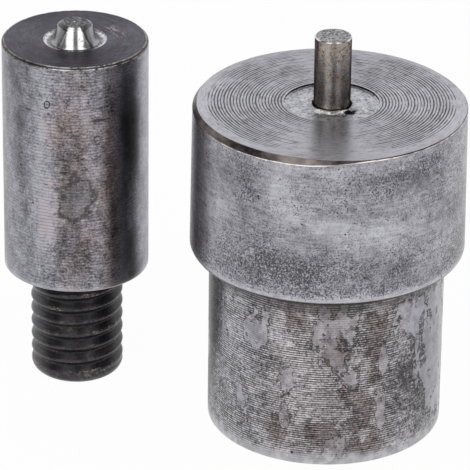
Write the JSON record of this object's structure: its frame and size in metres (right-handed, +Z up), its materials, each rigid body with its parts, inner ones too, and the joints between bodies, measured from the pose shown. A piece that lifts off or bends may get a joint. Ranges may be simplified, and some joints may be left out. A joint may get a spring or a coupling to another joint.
{
  "type": "eyelet press die set",
  "caption": "Eyelet press die set: a turned punch with a curling nib on a threaded stud, beside a stepped lower die with an eyelet seat and a sprung pilot pin.",
  "frame": {"origin": "centre of the lower die's base, on the surface that both tools stand on", "axes": "+Z up along the axis of the lower die, +X to the right and +Y to the back as the die set is seen from the front, with the punch at the left"},
  "size_m": [0.0394, 0.0254, 0.0351],
  "materials": {
    "die_steel": "turned steel, rings on the face, pits and stains on the sides",
    "punch_steel": "turned steel, dark face, polished nib, brown tarnish on the side",
    "pin_steel": "dark drawn steel with brown tarnish",
    "spring_wire": "drawn spring wire",
    "black_oxide": "black oxide with oil, worn on the thread crests"
  },
  "bodies": {
    "die": {"die_body": "die_steel", "retaining_screw": "black_oxide", "pin_spring": "spring_wire"},
    "pin": {"pilot_pin": "pin_steel"},
    "punch": {"punch_body": "punch_steel", "mounting_stud": "black_oxide"}
  },
  "joints": [
    {"name": "pin_travel", "type": "slide", "parent": "die", "child": "pin", "axis": [0, 0, 1], "range_m": [-0.007, 0], "stiffness_N_per_m": 1380, "springref_m": 0.0035, "deforming": ["pin_spring"]},
    {"name": "punch_lift", "type": "slide", "parent": "die", "child": "punch", "axis": [0, 0, 1], "range_m": [0, 0.04]}
  ]
}
